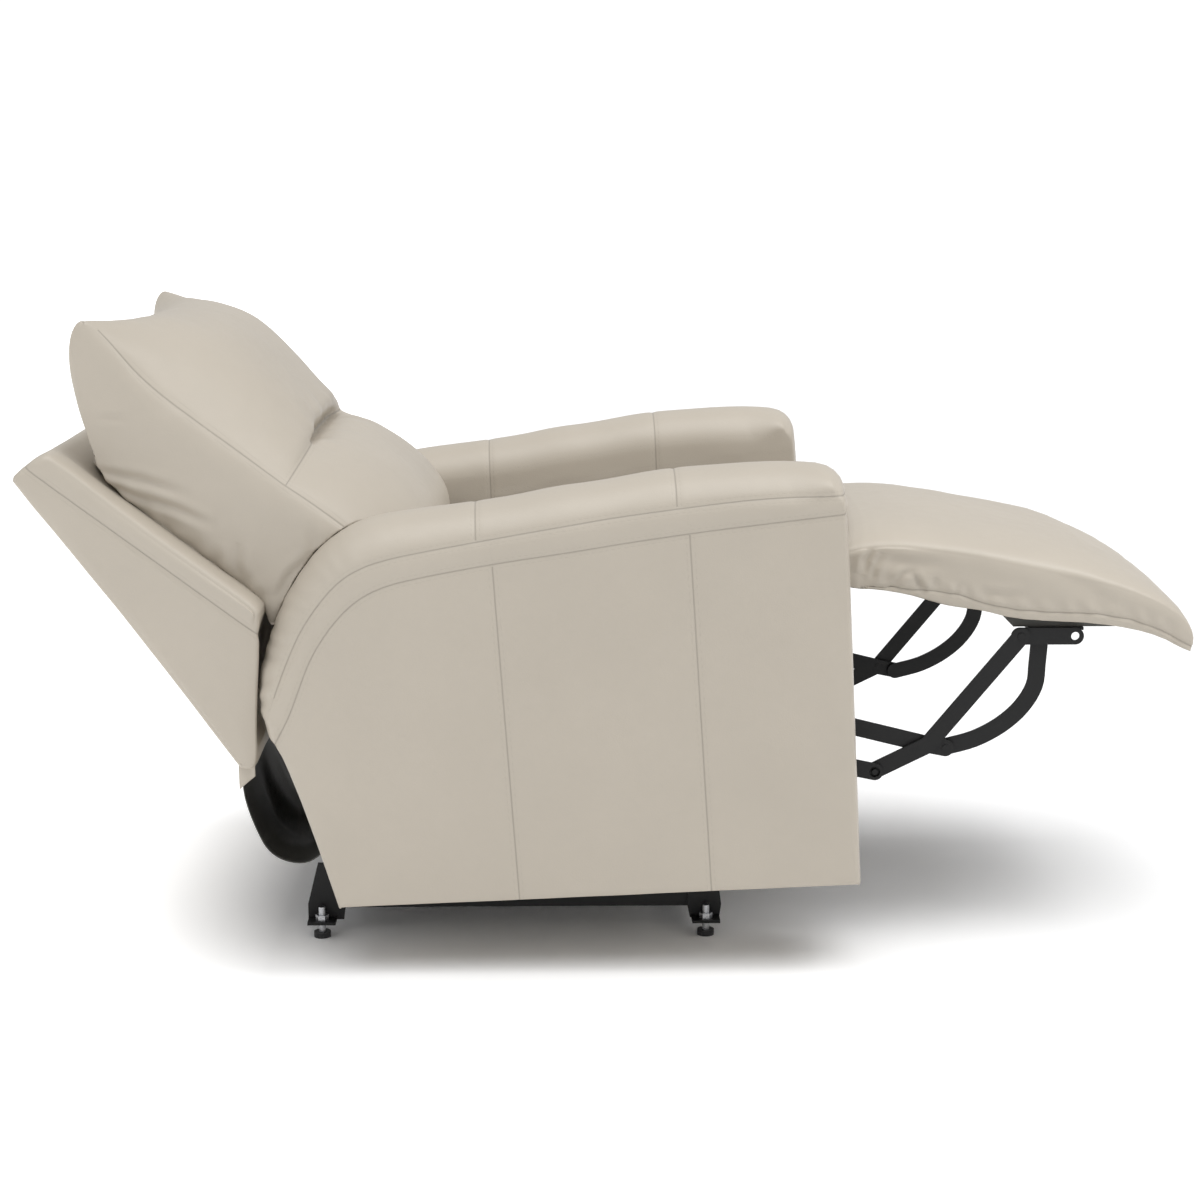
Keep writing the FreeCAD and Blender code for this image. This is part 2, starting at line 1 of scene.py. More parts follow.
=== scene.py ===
import json
import math

import bpy
import bmesh
import numpy as np
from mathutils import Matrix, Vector, noise


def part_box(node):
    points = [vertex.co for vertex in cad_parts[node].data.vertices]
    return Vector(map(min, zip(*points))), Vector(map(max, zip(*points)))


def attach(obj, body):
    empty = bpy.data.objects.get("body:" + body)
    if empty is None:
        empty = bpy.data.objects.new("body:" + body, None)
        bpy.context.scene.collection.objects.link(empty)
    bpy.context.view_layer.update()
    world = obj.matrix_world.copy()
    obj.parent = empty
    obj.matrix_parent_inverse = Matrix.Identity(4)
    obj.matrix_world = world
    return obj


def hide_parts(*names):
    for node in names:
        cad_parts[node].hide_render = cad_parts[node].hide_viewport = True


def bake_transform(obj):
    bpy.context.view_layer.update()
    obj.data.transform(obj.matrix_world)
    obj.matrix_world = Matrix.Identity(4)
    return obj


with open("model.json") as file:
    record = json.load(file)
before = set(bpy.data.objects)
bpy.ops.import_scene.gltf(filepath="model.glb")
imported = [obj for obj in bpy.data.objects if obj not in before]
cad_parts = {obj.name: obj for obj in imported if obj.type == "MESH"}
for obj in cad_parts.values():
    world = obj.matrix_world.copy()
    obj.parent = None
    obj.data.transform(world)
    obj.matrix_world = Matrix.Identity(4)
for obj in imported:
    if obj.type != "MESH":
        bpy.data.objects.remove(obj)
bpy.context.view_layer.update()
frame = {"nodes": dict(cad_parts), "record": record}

# The seat frame of the chair: its corner in metres and its nose-up tilt.
CORNER = (-0.3801, 0.0, 0.092)
TILT = math.radians(2.336)
HINGE = (-62.0, 400.0)


def seat_to_world(p):
    """Seat-frame millimetres (x, y, z) to metres in the row frame."""
    p = np.asarray(p, float) / 1000.0
    out = np.empty_like(p)
    out[..., 0] = CORNER[0] + p[..., 0] * math.cos(TILT) - p[..., 2] * math.sin(TILT)
    out[..., 1] = p[..., 1]
    out[..., 2] = CORNER[2] + p[..., 0] * math.sin(TILT) + p[..., 2] * math.cos(TILT)
    return out


def back_axes(x, z):
    """Seat-frame x, z to (along the back, out of the back), from the hinge."""
    dx = x - HINGE[0]
    dz = z - HINGE[1]
    return -0.775 * dx + 0.632 * dz, 0.632 * dx + 0.775 * dz


def from_back(a, b):
    return HINGE[0] - 0.775 * a + 0.632 * b, HINGE[1] + 0.632 * a + 0.775 * b


# ---------------------------------------------------------------- materials
def material(name):
    m = bpy.data.materials.new(name)
    m.use_nodes = True
    nt = m.node_tree
    nt.nodes.clear()
    out = nt.nodes.new("ShaderNodeOutputMaterial")
    bsdf = nt.nodes.new("ShaderNodeBsdfPrincipled")
    nt.links.new(bsdf.outputs[0], out.inputs[0])
    coord = nt.nodes.new("ShaderNodeTexCoord")
    return m, nt, bsdf, coord


def math_node(nt, op, a, b=None, clamp=False):
    n = nt.nodes.new("ShaderNodeMath")
    n.operation = op
    n.use_clamp = clamp
    for i, v in enumerate((a, b)):
        if v is None:
            continue
        if isinstance(v, (int, float)):
            n.inputs[i].default_value = v
        else:
            nt.links.new(v, n.inputs[i])
    return n.outputs[0]


def mix_color(nt, fac, a, b):
    n = nt.nodes.new("ShaderNodeMix")
    n.data_type = "RGBA"
    for i, v in ((0, fac), (6, a), (7, b)):
        if isinstance(v, (int, float)):
            n.inputs[i].default_value = v
        elif isinstance(v, tuple):
            n.inputs[i].default_value = v
        else:
            nt.links.new(v, n.inputs[i])
    return n.outputs[2]


def noise_node(nt, coord, scale, detail=3.0, rough=0.5):
    n = nt.nodes.new("ShaderNodeTexNoise")
    n.inputs["Scale"].default_value = scale
    n.inputs["Detail"].default_value = detail
    n.inputs["Roughness"].default_value = rough
    nt.links.new(coord, n.inputs["Vector"])
    return n.outputs[0]


def leather(name, base, seams=(), rough=0.43, crease=0.25):
    """Soft grained leather; each seam attribute holds a signed distance in metres."""
    m, nt, bsdf, tc = material(name)
    obj = tc.outputs["Object"]
    mottle = noise_node(nt, obj, 5.0, 4.0, 0.6)
    fine = noise_node(nt, obj, 60.0, 4.0, 0.6)
    dark = tuple(c * 0.93 for c in base) + (1.0,)
    light = tuple(min(1.0, c * 1.045) for c in base) + (1.0,)
    color = mix_color(nt, mottle, dark, light)
    color = mix_color(nt, math_node(nt, "MULTIPLY", fine, 0.10), color,
                      tuple(c * 0.8 for c in base) + (1.0,))
    grain = nt.nodes.new("ShaderNodeTexVoronoi")
    grain.inputs["Scale"].default_value = 520.0
    nt.links.new(obj, grain.inputs["Vector"])
    soft = noise_node(nt, obj, 26.0, 5.0, 0.62)
    height = math_node(nt, "MULTIPLY", grain.outputs["Distance"], 0.22)
    height = math_node(nt, "ADD", height, math_node(nt, "MULTIPLY", soft, crease))
    line = None
    for seam in seams:
        at = nt.nodes.new("ShaderNodeAttribute")
        at.attribute_name = seam
        d = math_node(nt, "ABSOLUTE", at.outputs["Fac"])
        groove = math_node(nt, "SUBTRACT", 1.0, math_node(nt, "DIVIDE", d, 0.0016), True)
        stitch_off = math_node(nt, "ABSOLUTE", math_node(nt, "SUBTRACT", d, 0.0055))
        stitch = math_node(nt, "SUBTRACT", 1.0,
                           math_node(nt, "DIVIDE", stitch_off, 0.0011), True)
        dash = nt.nodes.new("ShaderNodeTexWave")
        dash.wave_type = "BANDS"
        dash.bands_direction = "DIAGONAL"
        dash.inputs["Scale"].default_value = 62.0
        nt.links.new(obj, dash.inputs["Vector"])
        dashes = math_node(nt, "MULTIPLY", dash.outputs[0], 0.22)
        stitch = math_node(nt, "MULTIPLY", stitch, dashes)
        both = math_node(nt, "MAXIMUM", groove, stitch)
        line = both if line is None else math_node(nt, "MAXIMUM", line, both)
    # the seam lines are darkened in colour: the dashed stitches in the thread's own colour, and
    # painted shade in the groove
    if line is not None:
        color = mix_color(nt, math_node(nt, "MULTIPLY", line, 0.5), color,
                          tuple(c * 0.4 for c in base) + (1.0,))
        height = math_node(nt, "SUBTRACT", height, math_node(nt, "MULTIPLY", line, 1.6))
    nt.links.new(color, bsdf.inputs["Base Color"])
    rough_now = math_node(nt, "ADD", rough - 0.05, math_node(nt, "MULTIPLY", fine, 0.12))
    nt.links.new(rough_now, bsdf.inputs["Roughness"])
    bump = nt.nodes.new("ShaderNodeBump")
    bump.inputs["Strength"].default_value = 0.32
    bump.inputs["Distance"].default_value = 0.0011
    nt.links.new(height, bump.inputs["Height"])
    nt.links.new(bump.outputs[0], bsdf.inputs["Normal"])
    bsdf.inputs["Specular IOR Level"].default_value = 0.42
    return m


def plain(name, base, rough, metallic=0.0, grain=200.0, depth=0.0002, spread=0.12, spec=0.5,
          strength=0.25):
    """Painted or moulded surface with a fine texture and slight tone changes."""
    m, nt, bsdf, tc = material(name)
    obj = tc.outputs["Object"]
    tone = noise_node(nt, obj, 14.0, 4.0, 0.6)
    tiny = noise_node(nt, obj, grain, 3.0, 0.5)
    dark = tuple(c * (1 - spread) for c in base) + (1.0,)
    light = tuple(min(1.0, c * (1 + spread)) for c in base) + (1.0,)
    nt.links.new(mix_color(nt, tone, dark, light), bsdf.inputs["Base Color"])
    nt.links.new(math_node(nt, "ADD", rough - 0.06, math_node(nt, "MULTIPLY", tiny, 0.14)),
                 bsdf.inputs["Roughness"])
    bsdf.inputs["Metallic"].default_value = metallic
    bsdf.inputs["Specular IOR Level"].default_value = spec
    bump = nt.nodes.new("ShaderNodeBump")
    bump.inputs["Strength"].default_value = strength
    bump.inputs["Distance"].default_value = depth
    nt.links.new(tiny, bump.inputs["Height"])
    nt.links.new(bump.outputs[0], bsdf.inputs["Normal"])
    return m


def wood(name, base):
    m, nt, bsdf, tc = material(name)
    wave = nt.nodes.new("ShaderNodeTexWave")
    wave.wave_type = "RINGS"
    wave.inputs["Scale"].default_value = 9.0
    wave.inputs["Distortion"].default_value = 5.0
    wave.inputs["Detail"].default_value = 3.0
    nt.links.new(tc.outputs["Object"], wave.inputs["Vector"])
    nt.links.new(mix_color(nt, wave.outputs[0], tuple(c * 0.72 for c in base) + (1.0,),
                           tuple(base) + (1.0,)), bsdf.inputs["Base Color"])
    bsdf.inputs["Roughness"].default_value = 0.62
    bump = nt.nodes.new("ShaderNodeBump")
    bump.inputs["Strength"].default_value = 0.2
    bump.inputs["Distance"].default_value = 0.0004
    nt.links.new(wave.outputs[0], bump.inputs["Height"])
    nt.links.new(bump.outputs[0], bsdf.inputs["Normal"])
    return m


def fabric(name, base, scale=900.0, rough=0.85):
    m, nt, bsdf, tc = material(name)
    obj = tc.outputs["Object"]
    w1 = nt.nodes.new("ShaderNodeTexWave")
    w1.bands_direction = "Y"
    w1.inputs["Scale"].default_value = scale / 3
    nt.links.new(obj, w1.inputs["Vector"])
    w2 = nt.nodes.new("ShaderNodeTexWave")
    w2.bands_direction = "Z"
    w2.inputs["Scale"].default_value = scale / 3
    nt.links.new(obj, w2.inputs["Vector"])
    weave = math_node(nt, "ADD", w1.outputs[0], w2.outputs[0])
    tone = noise_node(nt, obj, 18.0, 4.0, 0.6)
    nt.links.new(mix_color(nt, tone, tuple(c * 0.75 for c in base) + (1.0,),
                           tuple(min(1, c * 1.2) for c in base) + (1.0,)),
                 bsdf.inputs["Base Color"])
    bsdf.inputs["Roughness"].default_value = rough
    bump = nt.nodes.new("ShaderNodeBump")
    bump.inputs["Strength"].default_value = 0.3
    bump.inputs["Distance"].default_value = 0.0004
    nt.links.new(weave, bump.inputs["Height"])
    nt.links.new(bump.outputs[0], bsdf.inputs["Normal"])
    return m


TAUPE = (0.462, 0.416, 0.350)
SEAMS = ("seam_one", "seam_two", "seam_three")
LEATHER = leather("leather_taupe", TAUPE, SEAMS)
STEEL = plain("black_powder_coat", (0.009, 0.009, 0.0092), 0.5, 0.0, 420.0, 0.0002, spec=0.3)
SPRING = plain("japanned_wire", (0.02, 0.02, 0.022), 0.35, 0.0, 300.0)
ZINC = plain("bright_zinc", (0.55, 0.56, 0.58), 0.28, 1.0, 500.0, 0.0001, 0.08)
PLASTIC = plain("black_plastic", (0.012, 0.012, 0.013), 0.45, 0.0, 700.0)
GLOSSY = plain("switch_black", (0.01, 0.01, 0.011), 0.22, 0.0, 700.0)
WOOD = wood("sawn_wood", (0.6, 0.43, 0.26))
WEBBING = fabric("webbing", (0.3, 0.28, 0.25), 600.0)
CLOTH = fabric("black_nonwoven", (0.072, 0.071, 0.064), 700.0, 0.62)


# ---------------------------------------------------------------- mesh tools
def resample(points, count, rounding=1):
    """Evenly spaced points along a polyline, corners eased."""
    p = np.asarray(points, float)
    for _ in range(rounding):
        q = 0.75 * p[:-1] + 0.25 * p[1:]
        r = 0.25 * p[:-1] + 0.75 * p[1:]
        mid = np.empty((2 * len(q), p.shape[1]))
        mid[0::2] = q
        mid[1::2] = r
        p = np.vstack([p[:1], mid, p[-1:]])
    seg = np.hypot(*(p[1:] - p[:-1]).T[:2])
    run = np.concatenate([[0], np.cumsum(seg)])
    at = np.linspace(0, run[-1], count)
    return np.stack([np.interp(at, run, p[:, i]) for i in range(p.shape[1])], 1)


def signed_distance(x, z, line):
    """Distance to an open polyline, positive on its left."""
    line = np.asarray(line, float)
    best = np.full(x.shape, 1e9)
    sign = np.ones(x.shape)
    for a, b in zip(line[:-1], line[1:]):
        ab = b - a
        t = np.clip(((x - a[0]) * ab[0] + (z - a[1]) * ab[1]) / ab.dot(ab), 0, 1)
        d = np.hypot(x - a[0] - t * ab[0], z - a[1] - t * ab[1])
        near = d < best
        cross = ab[0] * (z - a[1]) - ab[1] * (x - a[0])
        best = np.where(near, d, best)
        sign = np.where(near, np.sign(cross), sign)
    return best * np.where(sign == 0, 1, sign)


def soft_noise(p, scale, seed=0.0):
    """Smooth noise of seat-frame positions in millimetres, -1 to 1."""
    flat = p.reshape(-1, 3) / scale + seed
    out = np.array([noise.noise(Vector(v)) for v in flat])
    return out.reshape(p.shape[:-1])


def grid_normals(g, closed):
    du = (np.roll(g, -1, 1) - np.roll(g, 1, 1)) if closed else np.gradient(g, axis=1)
    dv = np.gradient(g, axis=0)
    n = np.cross(du, dv)
    length = np.linalg.norm(n, axis=-1, keepdims=True)
    return n / np.maximum(length, 1e-9)


def thicken(ob, amount):
    thick = ob.modifiers.new("thick", "SOLIDIFY")
    thick.thickness = amount
    bpy.context.view_layer.objects.active = ob
    ob.select_set(True)
    bpy.ops.object.modifier_apply(modifier="thick")
    ob.select_set(False)


def grid_faces(rows, cols, closed=False):
    """Quads of a grid of vertices; closed joins the last column to the first."""
    idx = np.arange(rows * cols).reshape(rows, cols)
    if closed:
        nxt = np.roll(idx, -1, 1)
        quads = (idx[:-1], nxt[:-1], nxt[1:], idx[1:])
    else:
        quads = (idx[:-1, :-1], idx[:-1, 1:], idx[1:, 1:], idx[1:, :-1])
    return np.stack(quads, -1).reshape(-1, 4).tolist()


def rounded(power):
    """Share of the way to the side line at a share v of the half width, steep at the end."""
    return lambda v: 1 - np.sqrt(max(0.0, 1 - v ** power))


def closed(top, low):
    """One closed outline from an upper and a lower line that share both ends."""
    return np.vstack([top, low[::-1][1:-1]])


def cross_rows(mid, side, spine, half, share, across, panel, puff):
    """Rows of a padded form: one side panel, the width, the other side panel.

    share(k) says how far the outline has gone from mid to side at a share k of the half
    width. Each side panel closes to the spine and bulges by puff millimetres. A mark runs
    from -2 to 2 and is the share of the half width between -1 and 1.
    """
    steps = np.linspace(0, 1, panel + 1)[1:] ** 0.85
    widths = np.sin(np.linspace(-math.pi / 2, math.pi / 2, across))
    rows, marks = [], []
    for sign, ks in ((-1, steps[::-1]), (0, widths), (1, steps)):
        for k in ks:
            if sign:
                swell = puff * math.sin(min(1.0, k * 2.2) * math.pi / 2) ** 0.8
                x, y = side + (spine - side) * k, sign * (half + swell)
                marks.append(sign * (1 + k))
            else:
                x, y = mid + (side - mid) * share(abs(k)), k * half
                marks.append(k)
            rows.append(np.column_stack([x[:, 0], np.full(len(x), y), x[:, 1]]))
    g = np.array(rows)
    n = grid_normals(g, True)
    inside = np.array([spine[:, 0].mean(), 0.0, spine[:, 1].mean()])
    if np.mean(np.sum(n * (g - inside), -1)) < 0:
        n = -n
    return g, np.array(marks)[:, None] * np.ones(g.shape[1])[None, :], n


def padded_mesh(name, g, seams, body):
    """The closed grid g as a leather piece; seams are distances in millimetres."""
    values = {k: np.ones(g.shape[:2]) for k in SEAMS}
    values.update({k: d / 1000.0 for k, d in seams.items()})
    return mesh_object(name, seat_to_world(g).reshape(-1, 3), grid_faces(*g.shape[:2], True),
                       LEATHER, body, values, 0.0004)


def paired(name, top, low, half, body, shape_top, shape_low, bend, seams, across=80,
           along=150, panel=24, puff=8.0, squeeze=None, easing=1):
    """A closed padded form from matched lines.

    Each row of top and low holds a point of the middle line and the point of the side line
    that it becomes; shape_top and shape_low say how far it has gone at a share of the width.
    """
    t, b = resample(top, along, easing), resample(low, along, easing)
    loop = closed(t, b)
    is_top = np.arange(len(loop)) < len(t)
    between = 0.5 * (t[:, 2:] + b[:, 2:])
    g, marks, n = cross_rows(loop[:, :2], loop[:, 2:], closed(between, between), half,
                             lambda k: np.where(is_top, shape_top(k), shape_low(k))[:, None],
                             across, panel, puff)
    flat = g
    g = g + n * bend(g, marks)[..., None]
    if squeeze is not None:
        g = squeeze(g)
    return padded_mesh(name, g, {k: f(flat, marks) for k, f in seams.items()}, body)


def mesh_object(name, verts, faces, mat, body, seams=None, weld=0.0):
    me = bpy.data.meshes.new(name)
    me.from_pydata(verts.tolist(), [], faces)
    if seams:
        for key, values in seams.items():
            a = me.attributes.new(key, "FLOAT", "POINT")
            a.data.foreach_set("value", np.asarray(values, np.float32).ravel())
    bm = bmesh.new()
    bm.from_mesh(me)
    if weld:
        bmesh.ops.remove_doubles(bm, verts=bm.verts, dist=weld)
    bmesh.ops.recalc_face_normals(bm, faces=bm.faces)
    bm.to_mesh(me)
    bm.free()
    for poly in me.polygons:
        poly.use_smooth = True
    me.materials.append(mat)
    ob = bpy.data.objects.new(name, me)
    bpy.context.collection.objects.link(ob)
    if body is not None:
        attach(ob, body)
    return ob


def loft(name, mid_top, mid_low, side_top, side_low, half, shape, body, bend, seams=None,
         centre=0.0, across=40, along=160, panel=16, puff=6.0):
    """A closed padded form.

    Its outline is an upper and a lower line in the seat plane; between the middle and the
    two sides the outline changes from the mid lines to the side lines.
    """
    mt, ml, st, sl = (resample(p, along) for p in (mid_top, mid_low, side_top, side_low))
    between = 0.5 * (st + sl)
    g, marks, n = cross_rows(closed(mt, ml), closed(st, sl), closed(between, between), half,
                             shape, across, panel, puff)
    g = g + n * bend(g, marks)[..., None]
    seams = {k: f(g, marks) for k, f in (seams or {}).items()}
    g[..., 1] += centre
    return padded_mesh(name, g, seams, body)


def dip(d, depth, width):
    return -depth * np.exp(-(d / width) ** 2)


def fold(u, w, line, depth, width):
    """A crease along a polyline, with a soft ridge at each side, fading towards its ends."""
    line = np.asarray(line, float)
    best = np.full(u.shape, 1e9)
    run = np.zeros(u.shape)
    total = np.hypot(*(line[1:] - line[:-1]).T).sum()
    done = 0.0
    for a, b in zip(line[:-1], line[1:]):
        ab = b - a
        size = math.hypot(*ab)
        t = np.clip(((u - a[0]) * ab[0] + (w - a[1]) * ab[1]) / size ** 2, 0, 1)
        d = np.hypot(u - a[0] - t * ab[0], w - a[1] - t * ab[1])
        run = np.where(d < best, (done + t * size) / total, run)
        best = np.minimum(d, best)
        done += size
    fade = np.sin(np.clip(run, 0.02, 0.98) * math.pi) ** 0.6
    return depth * fade * (0.55 * np.exp(-((best - 1.9 * width) / (1.1 * width)) ** 2)
                           - np.exp(-(best / width) ** 2))


# ---------------------------------------------------------------- arms
ARM_TOP = [(-6, 2), (-39, 125), (-70, 221), (-79, 233), (-92, 258), (-98, 290), (-96, 316),
           (-82, 362), (-60, 413), (-40, 446), (-10, 484), (18, 505), (45, 520), (73, 529),
           (147, 537), (203, 541), (261, 548), (315, 556), (369, 562), (424, 570), (473, 575),
           (531, 578), (584, 579), (638, 577), (676, 572), (695, 560), (703, 540), (706, 400),
           (711, 4)]
ARM_LOW = [(-6, 0), (120, 0), (300, 0), (500, 0), (712, 0)]
UPPER_SEAM = [(-70, 300), (-56, 335), (-28.5, 392), (16, 446), (49, 467), (85, 478), (139.6, 487),
              (214, 497), (301.5, 509), (400, 522), (531.7, 534), (600, 538), (712, 537)]
UPPER_SEAM = resample(UPPER_SEAM, 60, 3)
LOWER_SEAM = [(-79, 226), (-66, 248), (-52, 272), (-39, 303), (-18.5, 352), (13.4, 396),
              (47, 427), (85, 444), (138, 454), (227, 466.5), (341, 479), (421.8, 489), (530, 500),
              (712, 514)]
LOWER_SEAM = resample(LOWER_SEAM, 60, 3)


def arm_inset(line):
    """Inset of the flat side from the outline, from the rear foot round to the front foot."""
    out = []
    for x, z in line:
        if z < 228 and x < 300:
            r = 7.0
        elif z < 330 and x < 0:
            r = 7 + 40 * (z - 228) / 102
        elif x < 640 and z > 300:
            r = 56.0
        elif z > 530:
            r = 56 - 42 * (x - 640) / 66
        else:
            r = 9.0
        out.append(r)
    return np.array(out)


def inset(line, amount):
    """Move a polyline inward, towards its right-hand side when walked."""
    p = np.asarray(line, float)
    d = np.gradient(p, axis=0)
    d /= np.maximum(np.linalg.norm(d, axis=1, keepdims=True), 1e-9)
    n = np.column_stack([d[:, 1], -d[:, 0]])
    return p + n * np.asarray(amount)[:, None]


def panel_lines(x, z):
    """Signed distance to the two upright seams of the arm's outer panel."""
    return x - (243.3 - 0.032 * z), x - (503.5 - 0.0264 * z)


CROSS_SEAMS = (208, 475)


def arm_bend(g, mark, facing):
    x, y, z = g[..., 0], g[..., 1], g[..., 2]
    up = signed_distance(x, z, UPPER_SEAM)
    low = signed_distance(x, z, LOWER_SEAM)
    outer = y * facing > 30
    rear = np.clip(1 - (x + 85) / 190, 0, 1) * np.clip((z - 230) / 60, 0, 1)
    out = np.zeros(x.shape)
    out += np.where(outer, dip(up, 1.5, 4.0) + dip(low, 1.3, 4.0), 0)
    between = np.where(outer & (up < 0) & (low > 0), 1.0, 0.0)
    out += between * 1.1 * np.sin(np.clip(low / np.maximum(low - up, 1), 0, 1) * math.pi)
    first, second = panel_lines(x, z)
    flat = np.where(np.abs(mark) >= 1, 1.0, 0.0) * np.where(outer & (low < 0), 1.0, 0.0)
    out += flat * (dip(first, 1.2, 4.0) + dip(second, 1.2, 4.0))
    # gathers that run across the roll at the rear end, fading along the crest
    run = np.degrees(np.arctan2(z - 330, -(x - 70)))
    pleat = np.sin(run * 0.62 + up * 0.06 + 3.4 * soft_noise(g, 48.0, 3.0))
    out += rear * 1.5 * pleat * np.where(low > 0, 1, 0.1) * np.exp(-((up - 14) / 22) ** 2)
    tail = np.exp(-((z - 262) / 34) ** 2) * np.clip(1 - (x + 84) / 60, 0, 1)
    out += tail * 1.3 * np.sin(z / 5.6 + x / 9.0 + 2.0 * soft_noise(g, 30.0, 5.0))
    out += 1.5 * soft_noise(g, 90.0, 7.0) * np.where(low > 0, 1.0, 0.35)
    cross = np.minimum(np.abs(x - CROSS_SEAMS[0]), np.abs(x - CROSS_SEAMS[1]))
    out += np.where((up > 0) | ~outer, dip(cross, 1.3, 4.0), 0)
    return out


FAR = 60.0


def seam_where(on, d):
    """A seam's distance where it is sewn, and a far one of the same sign elsewhere."""
    return np.where(on, d, np.where(d < 0, -FAR, FAR))


def panel_seam(g, mark, facing):
    x, z = g[..., 0], g[..., 2]
    inner = g[..., 1] * facing < 20
    first, second = panel_lines(x, z)
    d = np.minimum(first, -second)
    low = signed_distance(x, z, LOWER_SEAM)
    up = signed_distance(x, z, UPPER_SEAM)
    # across the crest the two cross seams sit a little behind the panel seams
    c = np.minimum(x - CROSS_SEAMS[0], CROSS_SEAMS[1] - x)
    d = np.where((up > 0) | inner, c, d)
    side = np.where(d < 0, -1.0, 1.0)
    d = np.where((up <= 0) & (low > 0) & ~inner, side * (np.abs(d) + FAR), d)
    return d


def outer_line(line, facing):
    def f(g, mark):
        d = signed_distance(g[..., 0], g[..., 2], line)
        return seam_where(g[..., 1] * facing > 20, d)
    return f


ARM_RING = resample(ARM_TOP, 200)
ARM_SIDE = inset(ARM_RING, arm_inset(ARM_RING))
ARM_SIDE_LOW = [(1, 6), (120, 6), (300, 6), (500, 6), (704, 6)]
for word, y, facing in (("right", -350.0, -1), ("left", 350.0, 1)):
    arm = loft("arm_pad_" + word, ARM_TOP, ARM_LOW, ARM_SIDE, ARM_SIDE_LOW, 68.0, rounded(2.0),
               "seat", lambda g, m: arm_bend(g, m, facing),
               {"seam_one": outer_line(UPPER_SEAM, facing),
                "seam_two": outer_line(LOWER_SEAM, facing),
                "seam_three": lambda g, m: panel_seam(g, m, facing)},
               centre=y, across=38, along=340, panel=60, puff=2.0)
    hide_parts("arm_" + word)

# ---------------------------------------------------------------- back cover
BACK_TOP = [(-126, 199), (-200, 311), (-302, 462), (-401, 600), (-398, 608), (-356, 637),
            (-340, 632), (-240, 545), (-150, 472), (-92, 425), (-84, 414)]
BACK_LOW = [(-124, 198), (-108, 196), (-101, 206), (-98, 250), (-92, 307), (-87, 360), (-84, 412)]
BACK_SIDE = [(-122, 206), (-194, 316), (-296, 466), (-390, 598), (-386, 605), (-354, 626),
             (-340, 622), (-248, 540), (-158, 467), (-100, 420), (-92, 410)]
BACK_SIDE_LOW = [(-121, 203), (-110, 200), (-104, 210), (-102, 250), (-99, 300), (-95, 350),
                 (-92, 408)]


def back_seam(g, mark):
    b = back_axes(g[..., 0], g[..., 2])[1]
    return seam_where(np.abs(mark) > 0.97, b + 31)


def back_bend(g, mark):
    b = back_axes(g[..., 0], g[..., 2])[1]
    out = 1.6 * soft_noise(g, 120.0, 11.0)
    out += np.where(np.abs(mark) > 0.97, dip(b + 31, 1.8, 5.0), 0)
    # the arms press into its front face
    y = np.abs(g[..., 1])
    pressed = np.clip((y - 275) / 12, 0, 1) * np.clip((392 - y) / 10, 0, 1)
    front = np.clip((g[..., 0] + 112) / 8, 0, 1) * np.clip((g[..., 2] - 225) / 20, 0, 1)
    return out - 9.0 * pressed * front * np.clip((404 - g[..., 2]) / 30, 0, 1)


cover = loft("back_cover_leather", BACK_TOP, BACK_LOW, BACK_SIDE, BACK_SIDE_LOW, 397.0,
             rounded(60.0), "back", back_bend, {"seam_one": back_seam},
             across=90, along=150, panel=22, puff=3.0)
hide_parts("back_cover")

# ---------------------------------------------------------------- pillows of the back
# One cover holds the head roll and the lumbar roll: a tuck divides its crown, and a gusset
# runs down each side to the arms.
PILLOW_TOP = [
    (-318, 612, -294, 612), (-318, 640, -299, 636), (-319, 690, -310, 674),
    (-316, 725, -319, 716), (-306, 752, -321, 752), (-286, 773, -317, 783),
    (-256, 788, -306, 803), (-230, 796, -291, 804), (-192, 796, -262, 770),
    (-143, 780, -228, 725), (-102, 747, -190, 690), (-64, 704, -140, 650),
    (-36, 669, -100, 617), (-17, 645, -72, 594), (-8, 626, -56, 581), (2, 615, -44, 571),
    (20, 612, -28, 559), (43, 603, 0, 537), (82, 577, 30, 513), (120, 540, 54, 492),
    (145, 504, 76, 472), (153, 470, 92, 452), (144, 440, 96, 438),
    (120, 430, 90, 430)]
PILLOW_LOW = [
    (-318, 612, -294, 612), (-312, 605, -290, 600), (-280, 578, -276, 574),
    (-220, 528, -220, 526), (-150, 474, -150, 469), (-100, 436, -104, 428),
    (-84, 430, -86, 404), (-70, 428, -80, 382), (-56, 427, -68, 384), (-30, 427, -40, 408),
    (50, 427, 50, 427), (120, 430, 90, 430)]
ARM_CREST = [(-96, 316), (-82, 362), (-60, 413), (-40, 446), (-10, 484), (18, 505), (45, 520),
             (73, 529), (147, 537), (203, 541)]
GUSSET_FOLDS = [([(316, 6), (257, 36), (200, 57)], 3.4, 6.5),
                ([(252, 14), (191, 34), (146, 44)], 3.6, 6.0),
                ([(352, 68), (316, 93)], 1.6, 5.0), ([(76, 4), (90, 22), (104, 46)], 3.2, 8.0),
                ([(300, 0), (268, 10), (226, 16)], 2.4, 5.0),
                ([(16, 10), (20, 45), (16, 84)], 3.0, 7.0),
                ([(38, 120), (14, 96), (8, 60)], 2.2, 7.0)]


PILLOW_HALF = 341.0
GUSSET = 70.0


def tuck_line(b):
    """How far up the back the tuck between the two rolls runs, at a height b out of it."""
    return 96.0 + 0.10 * (b - 144)


